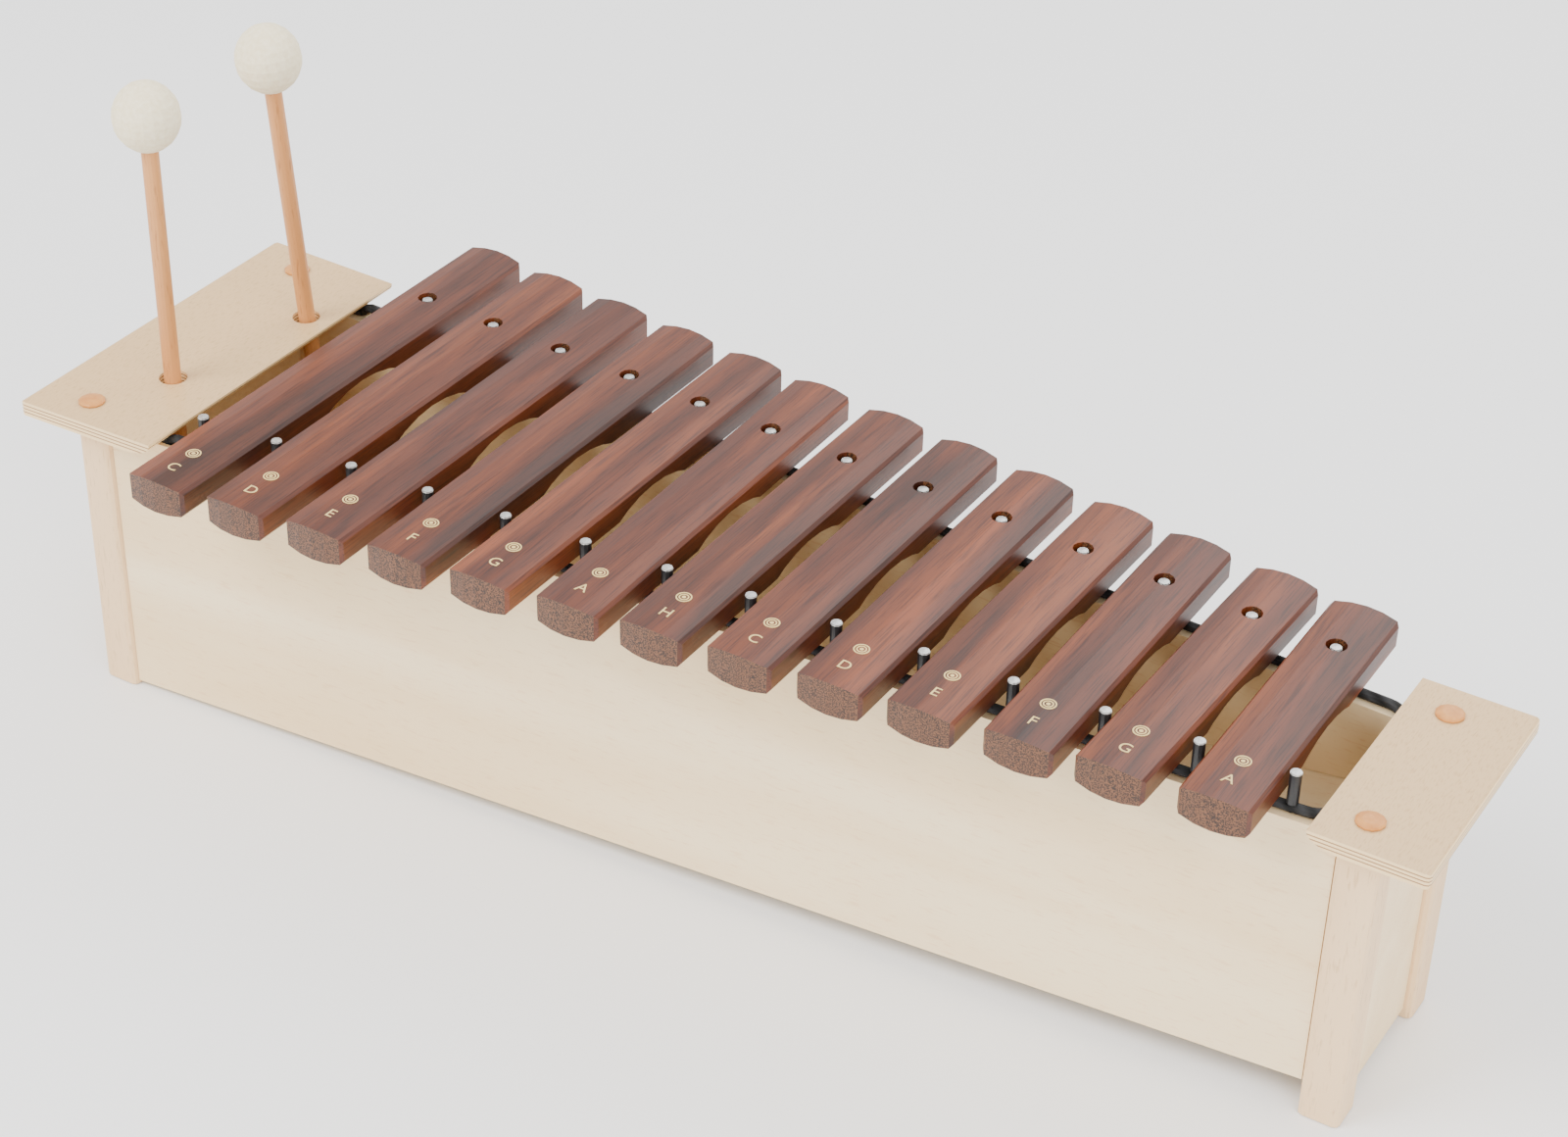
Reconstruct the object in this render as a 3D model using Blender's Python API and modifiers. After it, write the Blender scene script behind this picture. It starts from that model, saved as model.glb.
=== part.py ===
# Soprano xylophone
# A tapering plywood sound box stands on four beech posts. A rope runs along both of its sides,
# and thirteen tuned bars lie on the rope between sleeved nails. The cover plate at the low end
# has two holes, where the mallets stand.
# Metres, +Z up. The origin is on the floor under the middle of the instrument. The player is on
# the -Y side and the low notes are on the -X side.

import math

import bmesh
import bpy
from mathutils import Matrix, Vector

# Gap between two pieces that touch, and between a nail or screw and its hole
SEAT_GAP = 0.0003

# Bars
BAR_COUNT = 13
BAR_PITCH = 0.0390
BAR_WIDTH = 0.0300
LONGEST_BAR = 0.2450
BAR_STEP = 0.0081          # each bar is this much shorter than the one below it
BAR_SIDE = 0.0117          # height of the flat sides
BAR_CROWN = 0.0020         # rise of the rounded top above the sides
BAR_BELLY = 0.0020         # drop of the rounded underside below the sides
BAR_END_BULGE = 0.0014     # how far the ends bow out, seen from above
BAR_CORNER = 0.0013        # eased corner, all round
BAR_HOLE = 0.0090          # hole over the rear nail
ARCH_RISE_LOW = 0.0075     # tuning arch of the lowest bar, measured up its sides
ARCH_RISE_HIGH = 0.0058    # the same on the highest bar
ARCH_HALF_LOW = 0.0290     # half the arch's length at the foot of the sides
ARCH_HALF_HIGH = 0.0260
COMMON_LIE = -0.6          # degrees that every bar lies off square
BARS_ASKEW = {6: 0.9, 10: -0.5, 11: 0.5, 12: -1.0, 13: 0.9}

# Where the nails stand: distance from a bar's end to the line of its still point
NODE_INSET_LOW = 0.0544
NODE_INSET_HIGH = 0.0318

# Sound box
BOX_HEIGHT = 0.1401        # floor to the top edge of the boards and posts
BOARD_THICKNESS = 0.0100
BOARD_LIFT_LOW = 0.0020    # the long boards' lower edge rises from here at the low end
BOARD_LIFT_HIGH = 0.0160
POST_SIZE = 0.0180
POST_ROUND = 0.0025
POST_PROUD = 0.0022        # the posts stand out past the long boards
END_THICKNESS = 0.0090
END_RECESS = 0.0038        # the end boards lie back from the posts' outer faces
END_LIFT = 0.0050
FLOOR_THICKNESS = 0.0035
FLOOR_LOW = 0.0106         # top of the sloping floor at the low end board
FLOOR_HIGH = 0.1074        # and at the high one
GROOVE_DEPTH = 0.0030      # the floor's edges sit in grooves in the long boards

# Cover plates
PLATE_THICKNESS = 0.0070
PLATE_OVERHANG = 0.0227    # past the posts, at each end of the instrument
PLATE_SIDE_OVERHANG = 0.0103
PLATE_ROUND = 0.0020
LOW_PLATE_LENGTH = 0.0726
LOW_PLATE_TAPER = 0.0021   # its inner end is this much narrower on each side
HIGH_PLATE_LENGTH = 0.0496
LOW_MARGIN = 0.0202        # from the low plate to the first bar
HIGH_MARGIN = 0.0169       # from the last bar to the high plate
RELIEF_LENGTH = 0.0150     # the inner edge is rounded from below, over the rope
RELIEF_HEIGHT = 0.0065

# Screws with their caps
CAP_DIAMETER = 0.0120
CAP_RISE = 0.0017
CAP_EDGE = 0.0006
SCREW_DIAMETER = 0.0040
SCREW_HEAD = 0.0080
SCREW_LENGTH = 0.0300
LOW_SCREW_OUT = (0.0045, 0.0025)    # from the post's centre, outwards in X and in Y
HIGH_SCREW_OUT = (0.0005, 0.0018)

# Rope, which the bars press flat
ROPE_WIDTH = 0.0052
ROPE_HEIGHT = 0.0037
ROPE_TURN = 0.0095         # radius of its turns inside the box at the high end
ROPE_TURN_LEAD = 0.0066    # the turn starts this far before the plate
ROPE_DIP = 0.0075          # length over which it goes down under the low plate
ROPE_TAIL = 0.0140         # length under the low plate
NOTCH_LEAD = 0.0010        # the notches under the plates start just outside them

# Nails with their sleeves
NAIL_DIAMETER = 0.0020
NAIL_HEAD = 0.0046
NAIL_HEAD_THICKNESS = 0.0008
NAIL_RISE = 0.0192         # head above the boards
NAIL_DEPTH = 0.0160        # point below the top of the boards
NAIL_POINT = 0.0020
SLEEVE_DIAMETER = 0.0050
FRONT_NAIL_SHIFT = 0.0012  # the front row starts this far from the middle of its gap
FRONT_NAIL_CREEP = 0.0001  # and each nail is this much nearer the low end than the bars' pitch

# Mallets
SHAFT_DIAMETER = 0.0078
SHAFT_TIP_ROUND = 0.0010
SHAFT_IN_HEAD = 0.0080     # the shaft ends this far above the middle of the head
HEAD_WIDTH = 0.0300
HEAD_HEIGHT = 0.0320
MALLET_REACH = 0.2654      # tip of the shaft to the middle of the head
MALLET_PLAY = 0.0052       # a mallet's hole is this much wider than its shaft
MALLET_SPOTS = {
    "front": {"from_end": 0.0433, "y": -0.0364, "side": -53, "push": 0.95, "lean": (0.0, 0.0)},
    "rear": {"from_end": 0.0585, "y": 0.0400, "side": -34, "push": 0.70, "lean": (-2.2, -3.2)},
}

# Facets
BOW_STEPS = 4
ROUND_SIDES = 12
NAIL_SIDES = 10

# Along the instrument
ROW_LENGTH = (BAR_COUNT - 1) * BAR_PITCH + BAR_WIDTH
TOTAL_LENGTH = LOW_PLATE_LENGTH + LOW_MARGIN + ROW_LENGTH + HIGH_MARGIN + HIGH_PLATE_LENGTH
LOW_END = -TOTAL_LENGTH / 2
HIGH_END = TOTAL_LENGTH / 2
LOW_PLATE_EDGE = LOW_END + LOW_PLATE_LENGTH
HIGH_PLATE_EDGE = HIGH_END - HIGH_PLATE_LENGTH
FIRST_BAR_X = LOW_PLATE_EDGE + LOW_MARGIN + BAR_WIDTH / 2
LAST_BAR_X = FIRST_BAR_X + (BAR_COUNT - 1) * BAR_PITCH
POST_FACE = HIGH_END - PLATE_OVERHANG
POST_CENTRE = POST_FACE - POST_SIZE / 2
BOARD_END = POST_FACE - POST_SIZE - SEAT_GAP
END_OUTER = POST_FACE - END_RECESS
END_INNER = END_OUTER - END_THICKNESS

# Heights
ROPE_LEVEL = BOX_HEIGHT + SEAT_GAP + ROPE_HEIGHT / 2
BAR_BASE = BOX_HEIGHT + ROPE_HEIGHT + 2 * SEAT_GAP
PLATE_BASE = BOX_HEIGHT + SEAT_GAP
PLATE_TOP = PLATE_BASE + PLATE_THICKNESS
ROPE_LOW_LEVEL = PLATE_BASE - SEAT_GAP - ROPE_HEIGHT / 2
NOTCH_FLOOR = ROPE_LOW_LEVEL - ROPE_HEIGHT / 2 - SEAT_GAP


def between(low, high, share):
    """The value at a share of the way from low to high."""
    return low + (high - low) * share


def bar_x(index):
    return FIRST_BAR_X + index * BAR_PITCH


def bar_length(index):
    return LONGEST_BAR - index * BAR_STEP


def bar_lie(index):
    return math.radians(COMMON_LIE + BARS_ASKEW.get(index + 1, 0.0))


def nail_line(x):
    """Half the distance between the two rows of nails, which lie under the bars' still points."""
    low = LONGEST_BAR / 2 - NODE_INSET_LOW
    high = bar_length(BAR_COUNT - 1) / 2 - NODE_INSET_HIGH
    return between(low, high, (x - FIRST_BAR_X) / (LAST_BAR_X - FIRST_BAR_X))


def floor_top(x):
    """Height of the sloping floor's upper face."""
    return between(FLOOR_LOW, FLOOR_HIGH, (x + END_INNER) / (2 * END_INNER))


def post_y(end):
    """Distance of a post's centre from the middle plane, at the low (-1) or high (+1) end."""
    return nail_line(end * BOARD_END) + BOARD_THICKNESS / 2 + POST_PROUD - POST_SIZE / 2


def front_nails():
    """The front nails stand in the gaps between the bars, with one more at each end of the row."""
    places = []
    for gap in range(BAR_COUNT + 1):
        x = bar_x(gap - 0.5) + FRONT_NAIL_SHIFT - gap * FRONT_NAIL_CREEP
        places.append(Vector((x, -nail_line(x), BOX_HEIGHT)))
    return places


def rear_nails():
    """The rear nails stand in the bars' holes."""
    places = []
    for index in range(BAR_COUNT):
        x = bar_x(index) - nail_line(bar_x(index)) * math.sin(bar_lie(index))
        places.append(Vector((x, nail_line(x), BOX_HEIGHT)))
    return places


def new_collection(name):
    collection = bpy.data.collections.new(name)
    bpy.context.scene.collection.children.link(collection)
    return collection


def add_object(name, data):
    obj = bpy.data.objects.new(name, data)
    bpy.context.scene.collection.objects.link(obj)
    return obj


def remove_object(obj):
    data = obj.data
    bpy.data.objects.remove(obj)
    if isinstance(data, bpy.types.Mesh):
        bpy.data.meshes.remove(data)


def plain_mesh(obj):
    """The object's shape as the viewport shows it, welded into one closed mesh."""
    bpy.context.view_layer.update()
    graph = bpy.context.evaluated_depsgraph_get()
    mesh = bpy.data.meshes.new_from_object(obj.evaluated_get(graph), depsgraph=graph)
    bm = bmesh.new()
    bm.from_mesh(mesh)
    bmesh.ops.remove_doubles(bm, verts=bm.verts, dist=0.000001)
    bmesh.ops.recalc_face_normals(bm, faces=bm.faces)
    bm.to_mesh(mesh)
    bm.free()
    return mesh


def slab(name, outline, low, high, upright=False):
    """A flat outline with a thickness from low to high, along Z or, where upright, along Y."""
    curve = bpy.data.curves.new(name, "CURVE")
    curve.dimensions = "2D"
    curve.fill_mode = "BOTH"
    curve.extrude = (high - low) / 2
    spline = curve.splines.new("POLY")
    spline.points.add(len(outline) - 1)
    spline.use_cyclic_u = True
    for point, (u, v) in zip(spline.points, outline):
        point.co = (u, v, 0.0, 1.0)
    drawn = add_object(name + "_outline", curve)
    mesh = plain_mesh(drawn)
    bpy.data.objects.remove(drawn)
    bpy.data.curves.remove(curve)
    middle = (low + high) / 2
    if upright:
        mesh.transform(Matrix.Rotation(math.pi / 2, 4, "X"))
        mesh.transform(Matrix.Translation((0.0, middle, 0.0)))
    else:
        mesh.transform(Matrix.Translation((0.0, 0.0, middle)))
    return add_object(name, mesh)


def combine(target, tool, operation="DIFFERENCE"):
    """Cut the tool out of the target, or keep only what both fill, and remove the tool."""
    modifier = target.modifiers.new(operation.lower(), "BOOLEAN")
    modifier.operation = operation
    modifier.solver = "EXACT"
    modifier.object = tool
    mesh = plain_mesh(target)
    target.modifiers.clear()
    old = target.data
    target.data = mesh
    bpy.data.meshes.remove(old)
    remove_object(tool)


def from_two_views(name, front, plan):
    """A piece with one outline seen from the front (X, Z) and another seen from above (X, Y)."""
    spare = 0.01
    depths = [y for x, y in plan]
    heights = [z for x, z in front]
    piece = slab(name, front, min(depths) - spare, max(depths) + spare, upright=True)
    seen_from_above = slab(name + "_plan", plan, min(heights) - spare, max(heights) + spare)
    combine(piece, seen_from_above, "INTERSECT")
    return piece


def rods(name, places, radius, low, high, sides=NAIL_SIDES):
    """Upright cylinders from height low to height high, all in one cutting tool."""
    bm = bmesh.new()
    for place in places:
        at = Matrix.Translation((place[0], place[1], (low + high) / 2))
        bmesh.ops.create_cone(bm, cap_ends=True, segments=sides, radius1=radius, radius2=radius,
                              depth=high - low, matrix=at)
    mesh = bpy.data.meshes.new(name)
    bm.to_mesh(mesh)
    bm.free()
    return add_object(name, mesh)


def turned(name, profile, sides=ROUND_SIDES):
    """A turned solid from its outer profile, given as (radius, height) from top to bottom."""
    mesh = bpy.data.meshes.new(name)
    points = [(radius, 0.0, height) for radius, height in profile]
    mesh.from_pydata(points, [(i, i + 1) for i in range(len(points) - 1)], [])
    obj = add_object(name, mesh)
    screw = obj.modifiers.new("turn", "SCREW")
    screw.steps = sides
    screw.render_steps = sides
    screw.use_merge_vertices = True
    screw.merge_threshold = 0.00001
    obj.data = plain_mesh(obj)
    obj.modifiers.clear()
    bpy.data.meshes.remove(mesh)
    return obj


def bow(half, bulge, corner):
    """A low bow from -half to +half with its crown at 0 and both corners eased."""
    inner = half - corner
    row = [(-half, -bulge - corner)]
    for step in range(BOW_STEPS + 1):
        across = between(-inner, inner, step / BOW_STEPS)
        row.append((across, -bulge * (across / half) ** 2))
    row.append((half, -bulge - corner))
    return row


def make_material(name, colour, roughness, metallic=0.0):
    material = bpy.data.materials.new(name)
    material.use_nodes = True
    shader = material.node_tree.nodes["Principled BSDF"]
    shader.inputs["Base Color"].default_value = (*colour, 1.0)
    shader.inputs["Roughness"].default_value = roughness
    shader.inputs["Metallic"].default_value = metallic
    material.diffuse_color = (*colour, 1.0)
    return material


def finish(obj, colour, roughness, metallic=0.0, parent=None, at=None):
    """Give a piece its material, smooth its rounds and file it with the instrument."""
    mesh = obj.data
    mesh.materials.clear()
    mesh.materials.append(make_material(obj.name, colour, roughness, metallic))
    mesh.shade_smooth()
    mesh.set_sharp_from_angle(angle=math.radians(30))
    bpy.context.scene.collection.objects.unlink(obj)
    INSTRUMENT.objects.link(obj)
    if at is not None:
        obj.location = at
    if parent is not None:
        obj.parent = parent
    return obj


# Colours in linear light
PADAUK = (0.155, 0.042, 0.018)
BIRCH = (0.80, 0.60, 0.36)
BEECH = (0.82, 0.62, 0.42)
PLATE_TAN = (0.62, 0.42, 0.24)
CAP_AMBER = (0.55, 0.25, 0.06)
BLACK = (0.012, 0.012, 0.013)
ZINC = (0.60, 0.60, 0.58)
SHAFT_TAN = (0.66, 0.38, 0.19)
FELT = (0.84, 0.77, 0.62)


def make_bar(index):
    """One bar: crowned, bellied, arched underneath for its note, and drilled for its rear nail."""
    name = f"bar_{index + 1:02d}"
    half = BAR_WIDTH / 2
    half_length = bar_length(index) / 2
    thickness = BAR_BELLY + BAR_SIDE + BAR_CROWN
    top = [(x, thickness + rise) for x, rise in bow(half, BAR_CROWN, BAR_CORNER)]
    belly = [(x, -rise) for x, rise in bow(half, BAR_BELLY, BAR_CORNER)]
    rear = [(x, half_length + rise) for x, rise in bow(half, BAR_END_BULGE, BAR_CORNER)]
    front = [(x, -half_length - rise) for x, rise in bow(half, BAR_END_BULGE, BAR_CORNER)]
    bar = from_two_views(name, top + belly[::-1], rear + front[::-1])

    share = index / (BAR_COUNT - 1)
    rise = between(ARCH_RISE_LOW, ARCH_RISE_HIGH, share)
    reach = between(ARCH_HALF_LOW, ARCH_HALF_HIGH, share)
    radius = (rise ** 2 + reach ** 2) / (2 * rise)
    centre = BAR_BELLY + rise - radius
    spread = 2 * math.asin(min(1.0, reach / radius))
    steps = 12
    arc = []
    for step in range(steps + 1):
        angle = between(-spread, spread, step / steps)
        arc.append((radius * math.sin(angle), centre + radius * math.cos(angle)))
    arch = slab(name + "_arch", arc, -half - 0.01, half + 0.01, upright=True)
    arch.data.transform(Matrix.Rotation(math.pi / 2, 4, "Z"))
    combine(bar, arch)

    hole_at = [(0.0, nail_line(bar_x(index)))]
    hole = rods(name + "_hole", hole_at, BAR_HOLE / 2, -0.01, thickness + 0.01, ROUND_SIDES)
    combine(bar, hole)

    tone = 1.0 + 0.18 * math.sin(2.3 * index)
    colour = [channel * tone for channel in PADAUK]
    finish(bar, colour, 0.5, parent=BOX, at=(bar_x(index), 0.0, BAR_BASE))
    bar.rotation_euler.z = bar_lie(index)
    return bar


def make_bars():
    for index in range(BAR_COUNT):
        make_bar(index)


def make_nails():
    """Each nail wears a sleeve that stands on the rope, and its shank goes on into the board."""
    sleeve_foot = ROPE_HEIGHT + 2 * SEAT_GAP
    head_foot = NAIL_RISE - NAIL_HEAD_THICKNESS
    profile = [
        (0.0, NAIL_RISE),
        (NAIL_HEAD / 2, NAIL_RISE - 0.0003),
        (NAIL_HEAD / 2, head_foot),
        (SLEEVE_DIAMETER / 2, head_foot),
        (SLEEVE_DIAMETER / 2, sleeve_foot),
        (NAIL_DIAMETER / 2, sleeve_foot),
        (NAIL_DIAMETER / 2, NAIL_POINT - NAIL_DEPTH),
        (0.0, -NAIL_DEPTH),
    ]
    pattern = turned("nail_pattern", profile, NAIL_SIDES)
    rows = {"front": front_nails(), "rear": rear_nails()}
    for row, places in rows.items():
        for number, place in enumerate(places, start=1):
            nail = add_object(f"{row}_pin_{number:02d}", pattern.data.copy())
            finish(nail, BLACK, 0.45, parent=BOX, at=place)
    remove_object(pattern)


def rope_route():
    """The rope's centre line, from one end under the low plate round to the other."""
    half_route = []
    dip_start = LOW_PLATE_EDGE + 0.0006
    for step in range(5):
        share = step / 4
        drop = 3 * share ** 2 - 2 * share ** 3
        x = dip_start - ROPE_DIP * share
        half_route.append((x, 0.0, between(ROPE_LEVEL, ROPE_LOW_LEVEL, drop)))
    half_route.append((LOW_PLATE_EDGE - ROPE_TAIL, 0.0, ROPE_LOW_LEVEL))
    half_route.reverse()
    for gap in range(BAR_COUNT + 1):
        half_route.append((bar_x(gap - 0.5), 0.0, ROPE_LEVEL))
    turn_start = HIGH_PLATE_EDGE - ROPE_TURN_LEAD
    dip_angle = math.asin(ROPE_TURN_LEAD / ROPE_TURN)
    for step in range(9):
        angle = math.pi / 2 * step / 8
        share = max(0.0, (angle - dip_angle) / (math.pi / 2 - dip_angle))
        drop = 3 * share ** 2 - 2 * share ** 3
        x = turn_start + ROPE_TURN * math.sin(angle)
        inset = ROPE_TURN * (1 - math.cos(angle))
        half_route.append((x, inset, between(ROPE_LEVEL, ROPE_LOW_LEVEL, drop)))
    front = [Vector((x, inset - nail_line(x), z)) for x, inset, z in half_route]
    rear = [Vector((point.x, -point.y, point.z)) for point in reversed(front)]
    return front + rear


def make_rope():
    """The rope is drawn round in a space stretched upwards, which is then pressed flat."""
    press = ROPE_HEIGHT / ROPE_WIDTH
    curve = bpy.data.curves.new("rope_line", "CURVE")
    curve.dimensions = "3D"
    curve.twist_mode = "Z_UP"
    curve.bevel_depth = ROPE_WIDTH / 2
    curve.bevel_resolution = 2
    curve.use_fill_caps = True
    route = rope_route()
    spline = curve.splines.new("POLY")
    spline.points.add(len(route) - 1)
    for point, place in zip(spline.points, route):
        point.co = (place.x, place.y, place.z / press, 1.0)
    drawn = add_object("rope_line", curve)
    mesh = plain_mesh(drawn)
    bpy.data.objects.remove(drawn)
    mesh.transform(Matrix.Diagonal((1.0, 1.0, press, 1.0)))
    rope = add_object("bar_rope", mesh)
    places = front_nails() + rear_nails()
    radius = NAIL_DIAMETER / 2 + SEAT_GAP
    low = ROPE_LEVEL - ROPE_HEIGHT
    high = ROPE_LEVEL + ROPE_HEIGHT
    combine(rope, rods("rope_holes", places, radius, low, high, 8))
    finish(rope, BLACK, 0.9, parent=BOX)


def sheared(obj, side):
    """Slide an upright slab into the line of the front (-1) or rear (+1) nails."""
    slope = (nail_line(1.0) - nail_line(0.0)) * side
    along = Matrix.Identity(4)
    along[1][0] = slope
    along[1][3] = nail_line(0.0) * side
    obj.data.transform(along)
    return obj


def make_long_board(name, side, nails):
    """A long board: nail holes and rope notches in its top edge, a groove for the floor inside."""
    outline = [
        (-BOARD_END, BOARD_LIFT_LOW),
        (BOARD_END, BOARD_LIFT_HIGH),
        (BOARD_END, BOX_HEIGHT),
        (-BOARD_END, BOX_HEIGHT),
    ]
    half = BOARD_THICKNESS / 2
    board = sheared(slab(name, outline, -half, half, upright=True), side)

    inner = -side * (half + 0.005)
    groove_end = -side * (half - GROOVE_DEPTH)
    beyond = BOARD_END + 0.01
    low_line = [(x, floor_top(x) - FLOOR_THICKNESS - SEAT_GAP) for x in (-beyond, beyond)]
    high_line = [(x, floor_top(x) + SEAT_GAP) for x in (beyond, -beyond)]
    groove = slab(name + "_groove", low_line + high_line, min(inner, groove_end),
                  max(inner, groove_end), upright=True)
    combine(board, sheared(groove, side))

    notch_wall = side * (ROPE_WIDTH / 2 + SEAT_GAP)
    spans = {
        "low": (-beyond, LOW_PLATE_EDGE + NOTCH_LEAD),
        "high": (HIGH_PLATE_EDGE - NOTCH_LEAD, beyond),
    }
    for end, (start, stop) in spans.items():
        top = BOX_HEIGHT + 0.01
        corners = [(start, NOTCH_FLOOR), (stop, NOTCH_FLOOR), (stop, top), (start, top)]
        notch = slab(f"{name}_{end}_notch", corners, min(inner, notch_wall),
                     max(inner, notch_wall), upright=True)
        combine(board, sheared(notch, side))

    radius = NAIL_DIAMETER / 2 + SEAT_GAP
    depth = NAIL_DEPTH + SEAT_GAP
    holes = rods(name + "_holes", nails, radius, BOX_HEIGHT - depth, BOX_HEIGHT + 0.01, 8)
    combine(board, holes)
    finish(board, BIRCH, 0.5, parent=BOX)


def make_end_board(name, end):
    """An end board between its two posts."""
    half = post_y(end) - POST_SIZE / 2 - SEAT_GAP
    across = sorted((end * END_INNER, end * END_OUTER))
    outline = [(across[0], -half), (across[1], -half), (across[1], half), (across[0], half)]
    board = slab(name, outline, END_LIFT, BOX_HEIGHT)
    finish(board, BIRCH, 0.5, parent=BOX)


def make_floor():
    """The sloping floor of the sound box, notched round the posts and tapered to its grooves."""
    end = END_INNER - SEAT_GAP
    slope_low = [(x, floor_top(x) - FLOOR_THICKNESS) for x in (-end, end)]
    slope_high = [(x, floor_top(x)) for x in (end, -end)]
    step_x = BOARD_END - SEAT_GAP
    front_edge = []
    for x, side_end in ((-end, -1), (-step_x, -1), (-step_x, 0), (step_x, 0), (step_x, 1), (end, 1)):
        if side_end == 0:
            half = nail_line(x) - BOARD_THICKNESS / 2 + GROOVE_DEPTH - SEAT_GAP
        else:
            half = post_y(side_end) - POST_SIZE / 2 - SEAT_GAP
        front_edge.append((x, -half))
    rear_edge = [(x, -y) for x, y in reversed(front_edge)]
    floor = from_two_views("resonator_floor", slope_low + slope_high, front_edge + rear_edge)
    finish(floor, BIRCH, 0.6, parent=BOX)


def screw_place(end, side):
    """Where a cap and its screw stand, over a post."""
    out_x, out_y = LOW_SCREW_OUT if end < 0 else HIGH_SCREW_OUT
    return (end * (POST_CENTRE + out_x), side * (post_y(end) + out_y))


def corner_round(x, y, turn_x, turn_y, radius):
    """Points of a rounded corner at (x, y), whose centre lies towards turn_x and turn_y."""
    points = []
    for step in range(3):
        angle = math.pi / 2 * step / 2
        points.append((x + turn_x * radius * (1 - math.sin(angle)),
                       y + turn_y * radius * (1 - math.cos(angle))))
    return points


def make_post(name, end, side):
    """A square beech post with rounded edges, drilled for the cover plate's screw."""
    half = POST_SIZE / 2
    outline = []
    for turn_x, turn_y in ((1, 1), (-1, 1), (-1, -1), (1, -1)):
        points = corner_round(-turn_x * half, -turn_y * half, turn_x, turn_y, POST_ROUND)
        outline += points if turn_x != turn_y else points[::-1]
    post = slab(name, outline, 0.0, BOX_HEIGHT)
    place = (end * POST_CENTRE, side * post_y(end))
    screw = screw_place(end, side)
    inside = [(screw[0] - place[0], screw[1] - place[1])]
    bottom = PLATE_TOP - SCREW_LENGTH - SEAT_GAP
    radius = SCREW_DIAMETER / 2 + SEAT_GAP
    combine(post, rods(name + "_hole", inside, radius, bottom, BOX_HEIGHT + 0.01))
    finish(post, BEECH, 0.5, parent=BOX, at=(*place, 0.0))


def screw_profile(clearance):
    """Profile of the countersunk screw, from the plate's top down."""
    head = SCREW_HEAD / 2 + clearance
    shank = SCREW_DIAMETER / 2 + clearance
    return [(head, 0.0), (shank, shank - head), (shank, -SCREW_LENGTH), (0.0, -SCREW_LENGTH)]


def make_cap(name, end, side):
    """A low domed cap with the screw that it covers."""
    edge = CAP_DIAMETER / 2
    dome = [(0.0, CAP_RISE), (edge * 0.55, CAP_RISE * 0.88), (edge * 0.88, CAP_RISE * 0.6)]
    rim = [(edge, CAP_EDGE), (edge, 0.0)]
    raised = [(radius, height + SEAT_GAP) for radius, height in dome + rim]
    cap = turned(name, raised + screw_profile(0.0)[:1] + screw_profile(0.0)[1:])
    x, y = screw_place(end, side)
    finish(cap, CAP_AMBER, 0.35, parent=BOX, at=(x, y, PLATE_TOP))


def make_plate(name, end, length, taper):
    """A cover plate: its inner edge is rounded from below and its outer corners are eased."""
    outer = HIGH_END
    inner = HIGH_END - length
    top = PLATE_TOP
    front = [(inner, top), (inner, PLATE_BASE + RELIEF_HEIGHT)]
    steps = 8
    for step in range(1, steps + 1):
        angle = math.pi / 2 * step / steps
        x = inner + RELIEF_LENGTH * (1 - math.cos(angle))
        z = PLATE_BASE + RELIEF_HEIGHT * (1 - math.sin(angle))
        front.append((x, z))
    front += corner_round(outer, PLATE_BASE, -1, 1, PLATE_ROUND * 0.7)
    front += corner_round(outer, top, -1, -1, PLATE_ROUND * 0.7)[::-1]
    half = post_y(end) + POST_SIZE / 2 + PLATE_SIDE_OVERHANG
    edge = [(inner, -(half - taper))]
    edge += corner_round(outer, -half, -1, 1, PLATE_ROUND)
    plan = edge + [(x, -y) for x, y in reversed(edge)]
    front = [(end * x, z) for x, z in front]
    plan = [(end * x, y) for x, y in plan]
    plate = from_two_views(name, front, plan)

    for side in (-1, 1):
        sink_profile = screw_profile(SEAT_GAP)
        mouth = (sink_profile[0][0], 0.005)
        sink = turned(f"{name}_sink", [(0.0, 0.005), mouth] + sink_profile)
        sink.location = (*screw_place(end, side), PLATE_TOP)
        combine(plate, sink)
    return plate


def mallet_spot(spot):
    """Hole centre, the point where the shaft crosses the plate's top, and the shaft's direction."""
    hole = Vector((LOW_END + spot["from_end"], spot["y"], PLATE_TOP))
    play = (MALLET_PLAY / 2 - SEAT_GAP) * spot["push"]
    side = math.radians(spot["side"])
    crossing = hole + Vector((play * math.cos(side), play * math.sin(side), 0.0))
    lean_x, lean_y = [math.sin(math.radians(angle)) for angle in spot["lean"]]
    direction = Vector((lean_x, lean_y, math.sqrt(1 - lean_x ** 2 - lean_y ** 2)))
    return hole, crossing, direction


def make_plates():
    low = make_plate("cover_plate_low", -1, LOW_PLATE_LENGTH, LOW_PLATE_TAPER)
    holes = [mallet_spot(spot)[0] for spot in MALLET_SPOTS.values()]
    radius = (SHAFT_DIAMETER + MALLET_PLAY) / 2
    combine(low, rods("mallet_holes", holes, radius, PLATE_BASE - 0.01, PLATE_TOP + 0.01, 20))
    finish(low, PLATE_TAN, 0.45, parent=BOX)
    high = make_plate("cover_plate_high", 1, HIGH_PLATE_LENGTH, 0.0)
    finish(high, PLATE_TAN, 0.45, parent=BOX)


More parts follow.
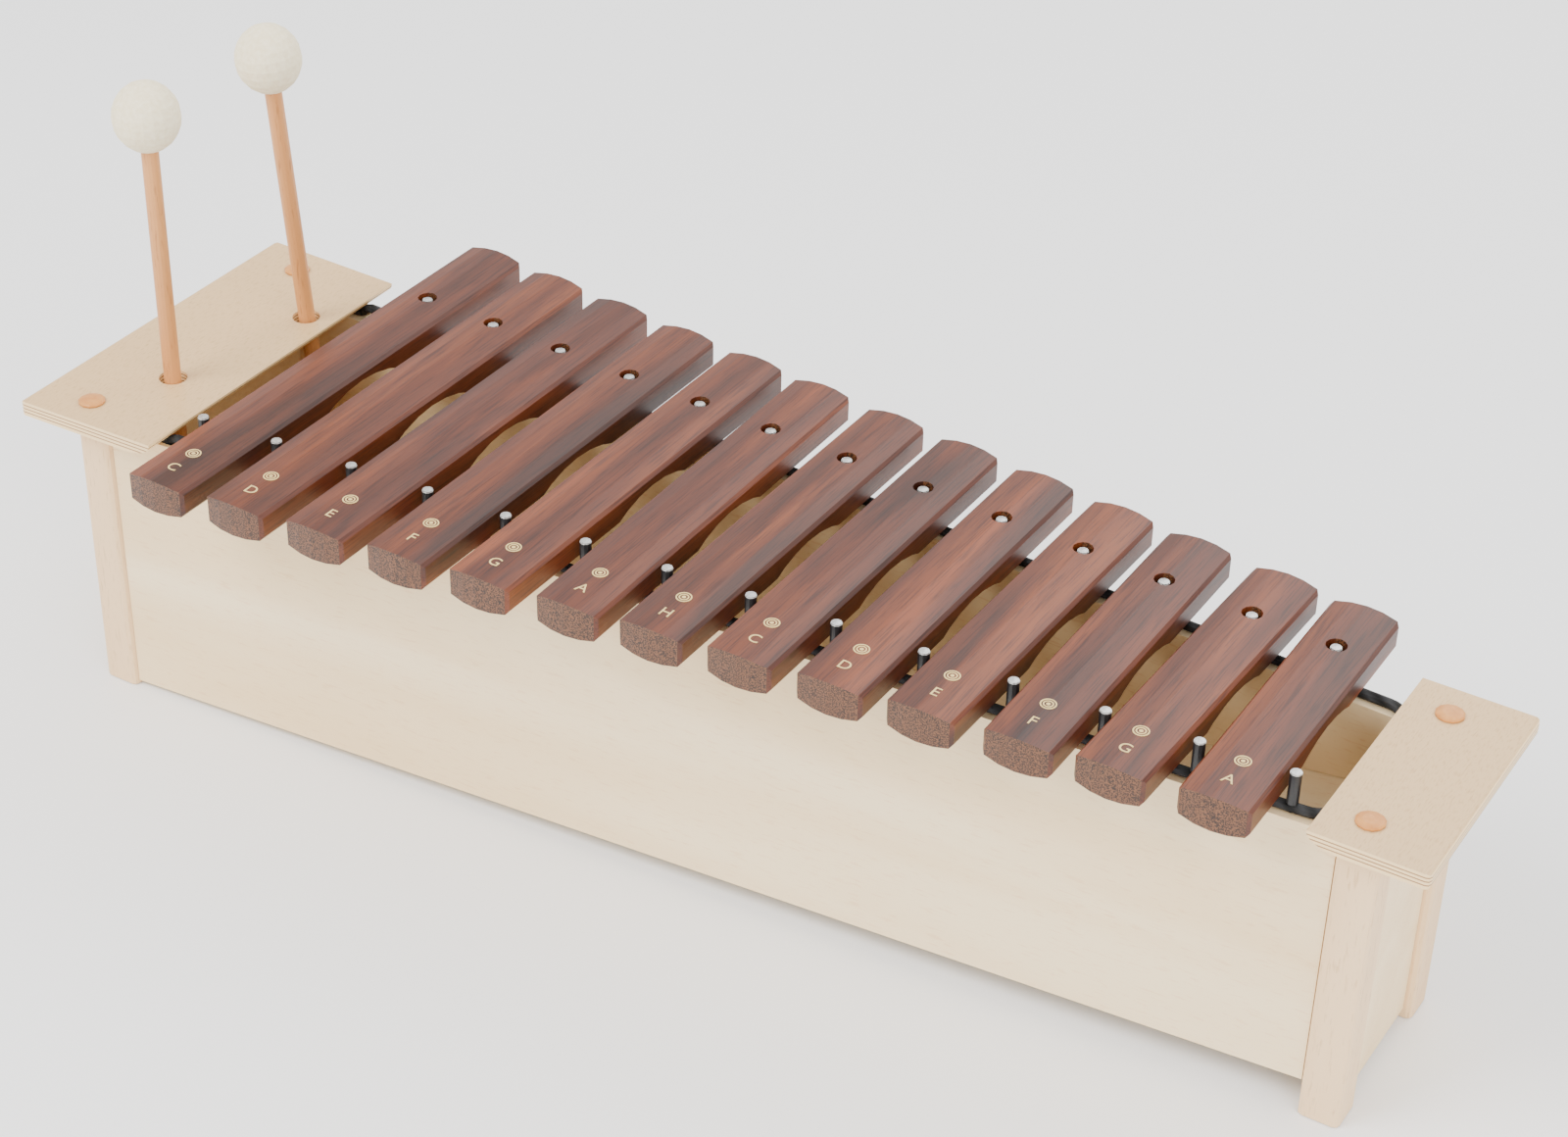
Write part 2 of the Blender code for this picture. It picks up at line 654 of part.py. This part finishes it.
def make_mallet(name, spot):
    """A mallet stands through its hole with its tip on the sloping floor."""
    hole, crossing, direction = mallet_spot(spot)
    slope = floor_top(1.0) - floor_top(0.0)
    normal = Vector((-slope, 0.0, 1.0)).normalized()
    radius = SHAFT_DIAMETER / 2
    facing = direction.dot(normal)
    above = (crossing - Vector((0.0, 0.0, floor_top(0.0)))).dot(normal)
    lean = math.sqrt(1 - facing ** 2)
    down = (above - SEAT_GAP - (radius - SHAFT_TIP_ROUND / 2) * lean) / facing
    tip = crossing - direction * down

    ream = SHAFT_DIAMETER / 2 + SEAT_GAP
    shaft_top = MALLET_REACH + SHAFT_IN_HEAD
    profile = [
        (0.0, shaft_top),
        (radius, shaft_top),
        (radius, SHAFT_TIP_ROUND),
        (radius - SHAFT_TIP_ROUND, 0.0),
        (0.0, 0.0),
    ]
    shaft = turned(f"mallet_shaft_{name}", profile, 16)
    bm = bmesh.new()
    bmesh.ops.create_uvsphere(bm, u_segments=20, v_segments=12, radius=0.5)
    bmesh.ops.scale(bm, vec=(HEAD_WIDTH, HEAD_WIDTH, HEAD_HEIGHT), verts=bm.verts)
    bmesh.ops.translate(bm, vec=(0.0, 0.0, MALLET_REACH), verts=bm.verts)
    ball = bpy.data.meshes.new(f"mallet_head_{name}")
    bm.to_mesh(ball)
    bm.free()
    head = add_object(f"mallet_head_{name}", ball)
    bore = rods(f"{name}_bore", [(0.0, 0.0)], ream, MALLET_REACH - HEAD_HEIGHT,
                shaft_top + SEAT_GAP, 16)
    combine(head, bore)

    stand = bpy.data.objects.new(f"mallet_{name}_axis", None)
    INSTRUMENT.objects.link(stand)
    stand.location = tip
    stand.rotation_euler = Vector((0.0, 0.0, 1.0)).rotation_difference(direction).to_euler()
    stand.parent = BOX
    finish(shaft, SHAFT_TAN, 0.45, parent=stand)
    finish(head, FELT, 0.95, parent=stand)


for old in list(bpy.data.objects):
    bpy.data.objects.remove(old)

INSTRUMENT = new_collection("soprano_xylophone")
BOX = bpy.data.objects.new("sound_box", None)
INSTRUMENT.objects.link(BOX)

make_long_board("board_front", -1, front_nails())
make_long_board("board_rear", 1, rear_nails())
make_end_board("board_low_end", -1)
make_end_board("board_high_end", 1)
make_floor()
for end, end_name in ((-1, "low"), (1, "high")):
    for side, side_name in ((-1, "front"), (1, "rear")):
        make_post(f"post_{end_name}_{side_name}", end, side)
        make_cap(f"screw_cap_{end_name}_{side_name}", end, side)
make_plates()
make_rope()
make_nails()
make_bars()
for mallet_name, mallet_place in MALLET_SPOTS.items():
    make_mallet(mallet_name, mallet_place)
bpy.context.view_layer.update()
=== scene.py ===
# %% [markdown]
# # Soprano xylophone: the looks
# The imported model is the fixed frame. This script gives every piece its finish, adds the note
# letters and a small roundel on each bar, and sets up the camera and a pale studio.
# Metres, +Z up, in the model's own frame.

# %%
import math

import bpy
from mathutils import Matrix, Vector


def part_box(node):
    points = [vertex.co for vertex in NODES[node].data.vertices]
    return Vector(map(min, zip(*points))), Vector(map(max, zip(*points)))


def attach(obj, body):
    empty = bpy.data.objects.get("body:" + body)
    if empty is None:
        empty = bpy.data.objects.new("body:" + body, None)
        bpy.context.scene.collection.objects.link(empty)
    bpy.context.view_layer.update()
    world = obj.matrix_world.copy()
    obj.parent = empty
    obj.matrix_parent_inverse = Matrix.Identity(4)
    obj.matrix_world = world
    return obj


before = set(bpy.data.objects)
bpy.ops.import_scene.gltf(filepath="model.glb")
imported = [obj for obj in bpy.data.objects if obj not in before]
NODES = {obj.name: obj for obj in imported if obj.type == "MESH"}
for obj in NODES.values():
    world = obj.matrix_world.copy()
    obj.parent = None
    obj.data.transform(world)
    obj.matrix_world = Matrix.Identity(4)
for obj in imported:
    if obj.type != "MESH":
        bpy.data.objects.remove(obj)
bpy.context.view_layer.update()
print("nodes:", len(NODES))

# %% [markdown]
# ## Camera
# Fitted to points measured in the photograph: where it stands, where it looks, and its lens.

# %%
CAMERA_PLACE = Vector((0.5818, -0.9541, 0.8878))
CAMERA_AZIMUTH = math.radians(30.654)
CAMERA_ELEVATION = math.radians(34.18)
CAMERA_ROLL = math.radians(1.45)
CAMERA_LENS = 72.9
CAMERA_SENSOR = 36.0


def make_camera():
    forward = Vector((
        -math.cos(CAMERA_ELEVATION) * math.sin(CAMERA_AZIMUTH),
        math.cos(CAMERA_ELEVATION) * math.cos(CAMERA_AZIMUTH),
        -math.sin(CAMERA_ELEVATION),
    ))
    level_right = forward.cross(Vector((0.0, 0.0, 1.0))).normalized()
    level_up = level_right.cross(forward)
    right = math.cos(CAMERA_ROLL) * level_right + math.sin(CAMERA_ROLL) * level_up
    up = math.cos(CAMERA_ROLL) * level_up - math.sin(CAMERA_ROLL) * level_right
    turn = Matrix((right, up, -forward)).transposed().to_4x4()
    data = bpy.data.cameras.new("camera")
    data.lens = CAMERA_LENS
    data.sensor_width = CAMERA_SENSOR
    camera = bpy.data.objects.new("camera", data)
    camera.matrix_world = Matrix.Translation(CAMERA_PLACE) @ turn
    bpy.context.scene.collection.objects.link(camera)
    bpy.context.scene.camera = camera
    print("camera lens:", CAMERA_LENS)


make_camera()

# %% [markdown]
# ## Studio
# A pale floor, a bright surround and large soft lights.

# %%
FLOOR_SIZE = 12.0
FLOOR_DROP = 0.0005        # the floor lies this far below the feet
FLOOR_GREY = (0.92, 0.92, 0.92, 1.0)
WHITE = (1.0, 1.0, 1.0)
SURROUND_STRENGTH = 1.5
LIGHTS = {
    "key": {"place": (-0.9, -1.3, 1.8), "size": 1.2, "power": 52.0},
    "fill": {"place": (1.5, -0.8, 1.2), "size": 1.4, "power": 24.0},
    "back": {"place": (0.2, 1.4, 1.5), "size": 1.6, "power": 18.0},
}


def make_light(name, place, size, power):
    """A square soft light, facing the middle of the instrument's floor."""
    data = bpy.data.lights.new(name, "AREA")
    data.size = size
    data.energy = power
    light = bpy.data.objects.new(name, data)
    light.location = place
    light.rotation_euler = (-Vector(place)).to_track_quat("-Z", "Y").to_euler()
    bpy.context.scene.collection.objects.link(light)


def make_floor():
    bpy.ops.mesh.primitive_plane_add(size=FLOOR_SIZE, location=(0.0, 0.0, -FLOOR_DROP))
    floor = bpy.context.object
    floor.name = "studio_floor"
    material = bpy.data.materials.new("studio_floor")
    material.use_nodes = True
    shader = material.node_tree.nodes["Principled BSDF"]
    shader.inputs["Base Color"].default_value = FLOOR_GREY
    shader.inputs["Roughness"].default_value = 0.9
    floor.data.materials.append(material)


def make_surround():
    world = bpy.data.worlds.new("surround")
    world.use_nodes = True
    background = world.node_tree.nodes["Background"]
    background.inputs["Color"].default_value = (*WHITE, 1.0)
    background.inputs["Strength"].default_value = SURROUND_STRENGTH
    bpy.context.scene.world = world


make_floor()
make_surround()
for light_name, light_facts in LIGHTS.items():
    make_light(light_name, **light_facts)
print("lights:", len(LIGHTS))

# %% [markdown]
# ## Material tools
# Every finish is worked out from object coordinates, so it stays on its piece.

# %%
GRAIN_STRETCH = 14.0       # a grain pattern is this many times longer than it is wide


def linear(red, green, blue):
    """A colour as seen on screen, 0 to 255, in the linear values that shaders take."""
    return tuple(((channel / 255 + 0.055) / 1.055) ** 2.4 for channel in (red, green, blue))


class Finish:
    """A material under construction, with short ways to add the nodes used here."""

    def __init__(self, name, roughness):
        self.material = bpy.data.materials.new(name)
        self.material.use_nodes = True
        self.tree = self.material.node_tree
        self.shader = self.tree.nodes["Principled BSDF"]
        self.shader.inputs["Roughness"].default_value = roughness
        self.coords = self.tree.nodes.new("ShaderNodeTexCoord")

    def stretched(self, scale, offset=0.0):
        """Object coordinates scaled on each axis and moved by an offset."""
        mapping = self.tree.nodes.new("ShaderNodeMapping")
        mapping.inputs["Scale"].default_value = scale
        mapping.inputs["Location"].default_value = (offset, offset * 0.7, offset * 1.3)
        self.tree.links.new(self.coords.outputs["Object"], mapping.inputs["Vector"])
        return mapping.outputs["Vector"]

    def noise(self, vector, scale, detail, distortion=0.0):
        noise = self.tree.nodes.new("ShaderNodeTexNoise")
        noise.inputs["Scale"].default_value = scale
        noise.inputs["Detail"].default_value = detail
        noise.inputs["Distortion"].default_value = distortion
        self.tree.links.new(vector, noise.inputs["Vector"])
        return noise.outputs["Fac"]

    def ramp(self, value, stops, sharp=False):
        """A colour ramp through the stops, or in sharp steps from one to the next."""
        ramp = self.tree.nodes.new("ShaderNodeValToRGB")
        elements = ramp.color_ramp.elements
        while len(elements) < len(stops):
            elements.new(0.5)
        for element, (place, colour) in zip(elements, stops):
            element.position = place
            element.color = (*colour, 1.0)
        if sharp:
            ramp.color_ramp.interpolation = "CONSTANT"
        self.tree.links.new(value, ramp.inputs["Fac"])
        return ramp.outputs["Color"]

    def mix(self, share, first, second, blend="MIX"):
        """Two colours mixed by a share, which is a number or another node's output."""
        mix = self.tree.nodes.new("ShaderNodeMix")
        mix.data_type = "RGBA"
        mix.blend_type = blend
        if isinstance(share, float):
            mix.inputs["Factor"].default_value = share
        else:
            self.tree.links.new(share, mix.inputs["Factor"])
        self.tree.links.new(first, mix.inputs["A"])
        self.tree.links.new(second, mix.inputs["B"])
        return mix.outputs["Result"]

    def math(self, kind, first, second=0.0):
        step = self.tree.nodes.new("ShaderNodeMath")
        step.operation = kind
        self.tree.links.new(first, step.inputs[0])
        step.inputs[1].default_value = second
        return step.outputs["Value"]

    def axis(self, source, letter):
        """One axis of the object coordinates or of the normal."""
        split = self.tree.nodes.new("ShaderNodeSeparateXYZ")
        self.tree.links.new(self.coords.outputs[source], split.inputs["Vector"])
        return split.outputs[letter]

    def colour(self, output):
        self.tree.links.new(output, self.shader.inputs["Base Color"])

    def bump(self, height, strength, distance):
        bump = self.tree.nodes.new("ShaderNodeBump")
        bump.inputs["Strength"].default_value = strength
        bump.inputs["Distance"].default_value = distance
        self.tree.links.new(height, bump.inputs["Height"])
        self.tree.links.new(bump.outputs["Normal"], self.shader.inputs["Normal"])


def along(letter, across, length=None):
    """Scales of a grain pattern that runs along one axis: its width's, and its length's."""
    length = across / GRAIN_STRETCH if length is None else length
    return tuple(length if axis == letter else across for axis in "XYZ")


# %% [markdown]
# ## Bars
# Dark red-brown wood. Each bar has its own piece of the pattern and its own warmth.

# %%
BAR_PATTERN_STEP = 1.7
BAR_WARMTH_STEP = 2.3
BAR_BAND_SCALE = 60.0
BAR_THREAD_SCALE = 1500.0
BAR_THREAD_LENGTH = 45.0
BAR_SPECKLE_SCALE = 1700.0
BAR_PORE_SHARE = 0.75
BAR_PORE_SHADE = (0.35, 0.30, 0.28)
END_GRAIN_DARK = linear(36, 19, 10)
END_GRAIN_LIGHT = linear(112, 70, 42)
END_FACING = 0.8           # a face counts as end grain when its normal is this much along Y


def bar_finish(index):
    """Dark red-brown wood with fine streaks and pores, and speckled end grain."""
    finish = Finish(f"bar_wood_{index + 1:02d}", 0.42)
    offset = BAR_PATTERN_STEP * index
    warmth = 0.5 + 0.5 * math.sin(BAR_WARMTH_STEP * index)
    dark = linear(50 + 8 * warmth, 20 + 4 * warmth, 9)
    middle = linear(82 + 10 * warmth, 35 + 5 * warmth, 15)
    light = linear(118 + 12 * warmth, 56 + 8 * warmth, 25)
    bands = finish.noise(finish.stretched(along("Y", BAR_BAND_SCALE), offset), 1.0, 6.0, 0.6)
    body = finish.ramp(bands, [(0.32, dark), (0.50, middle), (0.72, light)])
    thread_scale = along("Y", BAR_THREAD_SCALE, BAR_THREAD_LENGTH)
    threads = finish.noise(finish.stretched(thread_scale, offset), 1.0, 3.0)
    pores = finish.ramp(threads, [(0.36, BAR_PORE_SHADE), (0.50, WHITE)])
    side = finish.mix(BAR_PORE_SHARE, body, pores, "MULTIPLY")
    speckle = finish.noise(finish.stretched(WHITE, offset), BAR_SPECKLE_SCALE, 2.0)
    ends = finish.ramp(speckle, [(0.42, END_GRAIN_DARK), (0.58, END_GRAIN_LIGHT)])
    facing = finish.math("ABSOLUTE", finish.axis("Normal", "Y"))
    is_end = finish.math("GREATER_THAN", facing, END_FACING)
    finish.colour(finish.mix(is_end, side, ends))
    finish.bump(threads, 0.25, 0.0002)
    return finish.material


# %% [markdown]
# ## Pale woods
# Birch panels, beech posts and mallet shafts, and the cover plates' plywood.

# %%
FIGURE_SCALE = 22.0
FLECK_SCALE = 900.0
FLECK_LENGTH = 110.0
FLECK_SHARE = 0.8
PLATE_FLECK_SCALE = 1500.0
PLATE_FLECK_LENGTH = 260.0
PLATE_DARK = linear(196, 158, 108)
PLATE_LIGHT = linear(214, 178, 128)
PLY_LIGHT = linear(248, 214, 158)
PLY_DARK = linear(150, 105, 65)
PLY_LINES = (0.22, 0.47, 0.72)      # dark lines, as shares of the plate's thickness
PLY_LINE_WIDTH = 0.08
TOP_FACING = 0.7


def pale_wood(name, light, dark, axis, flecks):
    """Birch or beech: faint broad figure and short darker flecks along the grain."""
    finish = Finish(name, 0.45)
    figure = finish.noise(finish.stretched(along(axis, FIGURE_SCALE)), 1.0, 5.0, 0.8)
    body = finish.ramp(figure, [(0.35, dark), (0.65, light)])
    marks = finish.noise(finish.stretched(along(axis, FLECK_SCALE, FLECK_LENGTH)), 1.0, 2.0)
    low = 1.0 - flecks
    spots = finish.ramp(marks, [(0.30, (low, low * 0.92, low * 0.85)), (0.42, WHITE)])
    finish.colour(finish.mix(FLECK_SHARE, body, spots, "MULTIPLY"))
    finish.bump(marks, 0.12, 0.0001)
    return finish.material


def plate_finish(name, low, high):
    """Plywood: a flecked tan face, and edges that show the plies."""
    finish = Finish(name, 0.4)
    fleck_scale = along("Y", PLATE_FLECK_SCALE, PLATE_FLECK_LENGTH)
    marks = finish.noise(finish.stretched(fleck_scale), 1.0, 3.0)
    face = finish.ramp(marks, [(0.30, PLATE_DARK), (0.48, PLATE_LIGHT)])
    height = finish.math("SUBTRACT", finish.axis("Object", "Z"), low)
    share = finish.math("DIVIDE", height, high - low)
    stops = [(0.0, PLY_LIGHT)]
    for line in PLY_LINES:
        stops += [(line, PLY_DARK), (line + PLY_LINE_WIDTH, PLY_LIGHT)]
    edge = finish.ramp(share, stops, sharp=True)
    is_face = finish.math("GREATER_THAN", finish.axis("Normal", "Z"), TOP_FACING)
    finish.colour(finish.mix(is_face, edge, face))
    finish.bump(marks, 0.12, 0.0001)
    return finish.material


# %% [markdown]
# ## Nails, rope, caps and felt

# %%
NAIL_HEAD_DEPTH = 0.0009   # the steel shows this far down from a nail's top
NAIL_GRAIN_SCALE = 1800.0
ROPE_STRAND_SCALE = 60.0
FELT_SCALE = 500.0
CAP_SCALE = 260.0
GOLD_SCALE = 900.0


def pin_finish(head_foot):
    """Bright steel head above a black rubber sleeve."""
    finish = Finish("nail_and_sleeve", 0.4)
    is_head = finish.math("GREATER_THAN", finish.axis("Object", "Z"), head_foot)
    grain = finish.noise(finish.coords.outputs["Object"], NAIL_GRAIN_SCALE, 2.0)
    black = finish.ramp(grain, [(0.3, (0.008, 0.008, 0.009)), (0.7, (0.016, 0.016, 0.017))])
    steel = finish.ramp(grain, [(0.3, (0.45, 0.45, 0.44)), (0.7, (0.72, 0.72, 0.70))])
    finish.colour(finish.mix(is_head, black, steel))
    finish.tree.links.new(is_head, finish.shader.inputs["Metallic"])
    finish.bump(grain, 0.1, 0.0001)
    return finish.material


def rope_finish():
    """Black twisted rope: slanting strands as relief in the material, and painted shade that darkens the
    grooves between them.
    """
    finish = Finish("rope_black", 0.85)
    wave = finish.tree.nodes.new("ShaderNodeTexWave")
    wave.wave_type = "BANDS"
    wave.bands_direction = "DIAGONAL"
    wave.inputs["Scale"].default_value = ROPE_STRAND_SCALE
    wave.inputs["Distortion"].default_value = 0.6
    finish.tree.links.new(finish.coords.outputs["Object"], wave.inputs["Vector"])
    strand_relief_and_shade = wave.outputs["Fac"]
    # painted shade: the rope's colour is darker where the strand pattern is low, in the grooves between
    # strands
    finish.colour(finish.ramp(strand_relief_and_shade, [(0.1, (0.004, 0.004, 0.004)), (0.8, (0.022, 0.022, 0.023))]))
    finish.bump(strand_relief_and_shade, 0.9, 0.0012)
    return finish.material


def mottled(name, dark, light, scale, roughness, relief):
    """A plain colour with slight mottling and relief."""
    finish = Finish(name, roughness)
    spots = finish.noise(finish.coords.outputs["Object"], scale, 4.0)
    finish.colour(finish.ramp(spots, [(0.3, dark), (0.7, light)]))
    finish.bump(spots, 0.3, relief)
    return finish.material


# %% [markdown]
# ## Dressing the nodes

# %%
def dress(node, material):
    """Put one finish on all of a CAD node's material slots."""
    for place in NODES[node].material_slots:
        place.material = material


def dress_all():
    birch = pale_wood("birch_panel", linear(252, 228, 184), linear(242, 212, 162), "X", 0.08)
    beech = pale_wood("beech_post", linear(246, 212, 166), linear(234, 194, 144), "Z", 0.20)
    shaft = pale_wood("mallet_beech", linear(220, 156, 94), linear(198, 132, 74), "Z", 0.30)
    felt = mottled("mallet_felt", linear(238, 222, 184), linear(250, 238, 206), FELT_SCALE, 0.95, 0.0004)
    amber = mottled("cap_amber", linear(196, 124, 54), linear(214, 146, 74), CAP_SCALE, 0.35, 0.00005)
    rope = rope_finish()
    pin = pin_finish(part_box("front_pin_01")[1].z - NAIL_HEAD_DEPTH)
    for node in NODES:
        if node == "bar_rope":
            dress(node, rope)
        elif node.startswith("bar_"):
            dress(node, bar_finish(int(node[-2:]) - 1))
        elif "_pin_" in node:
            dress(node, pin)
        elif node.startswith("cover_plate"):
            low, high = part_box(node)
            dress(node, plate_finish(node + "_ply", low.z, high.z))
        elif node.startswith("screw_cap"):
            dress(node, amber)
        elif node.startswith("post_"):
            dress(node, beech)
        elif node.startswith("mallet_shaft"):
            dress(node, shaft)
        elif node.startswith("mallet_head"):
            dress(node, felt)
        else:
            dress(node, birch)
    print("materials:", len(bpy.data.materials))


dress_all()

# %% [markdown]
# ## Marks on the bars
# Each bar has its note's letter and, behind it, a plain roundel: two rings round a dot.

# %%
NOTES = "CDEFGAHCDEFGA"
LETTER_SIZE = 0.0078
LETTER_FROM_END = 0.0135
ROUNDEL_FROM_END = 0.0265
ROUNDEL_EDGES = (0.0034, 0.0028, 0.0022, 0.0016, 0.0009)
MARK_RISE = 0.00004
MARK_SINK = 0.00020
CIRCLE_SIDES = 40
END_ZONE = 0.04            # share of a bar's length that counts as its end


def bar_line(node):
    """A bar's front end, in the middle, and the direction from there to its rear end."""
    places = [vertex.co for vertex in NODES[node].data.vertices]
    low = min(place.y for place in places)
    high = max(place.y for place in places)
    reach = (high - low) * END_ZONE
    ends = []
    for limit in (low, high):
        near = [place.x for place in places if abs(place.y - limit) < reach]
        ends.append(Vector(((min(near) + max(near)) / 2, limit, 0.0)))
    return ends[0], (ends[1] - ends[0]).normalized()


def finish_mark(curve, node, distance, material):
    """Turn a drawn outline into a thin mesh let into the bar's top, and make it ride there."""
    curve.extrude = (MARK_RISE + MARK_SINK) / 2
    front, direction = bar_line(node)
    place = front + direction * distance
    place.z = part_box(node)[1].z + (MARK_RISE - MARK_SINK) / 2
    lie = math.atan2(-direction.x, direction.y)
    name = curve.name
    drawn = bpy.data.objects.new(name, curve)
    bpy.context.scene.collection.objects.link(drawn)
    bpy.context.view_layer.update()
    graph = bpy.context.evaluated_depsgraph_get()
    mesh = bpy.data.meshes.new_from_object(drawn.evaluated_get(graph), depsgraph=graph)
    mesh.transform(Matrix.Translation(place) @ Matrix.Rotation(lie, 4, "Z"))
    mesh.materials.clear()
    mesh.materials.append(material)
    bpy.data.objects.remove(drawn)
    mark = bpy.data.objects.new(name, mesh)
    bpy.context.scene.collection.objects.link(mark)
    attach(mark, node + "_body")


def draw_letter(node, letter):
    text = bpy.data.curves.new(f"{node}_letter", "FONT")
    text.body = letter
    text.size = LETTER_SIZE
    text.align_x = "CENTER"
    text.align_y = "CENTER"
    return text


def draw_roundel(node):
    """Circles inside one another, which fill in turn."""
    rings = bpy.data.curves.new(f"{node}_roundel", "CURVE")
    rings.dimensions = "2D"
    rings.fill_mode = "BOTH"
    for radius in ROUNDEL_EDGES:
        spline = rings.splines.new("POLY")
        spline.points.add(CIRCLE_SIDES - 1)
        spline.use_cyclic_u = True
        for step, point in enumerate(spline.points):
            angle = 2 * math.pi * step / CIRCLE_SIDES
            point.co = (radius * math.cos(angle), radius * math.sin(angle), 0.0, 1.0)
    return rings


def make_marks():
    gold = mottled("mark_gold", linear(206, 176, 112), linear(224, 196, 134), GOLD_SCALE, 0.45, 0.00002)
    for index, letter in enumerate(NOTES):
        node = f"bar_{index + 1:02d}"
        finish_mark(draw_letter(node, letter), node, LETTER_FROM_END, gold)
        finish_mark(draw_roundel(node), node, ROUNDEL_FROM_END, gold)
    print("marks:", 2 * len(NOTES))


make_marks()
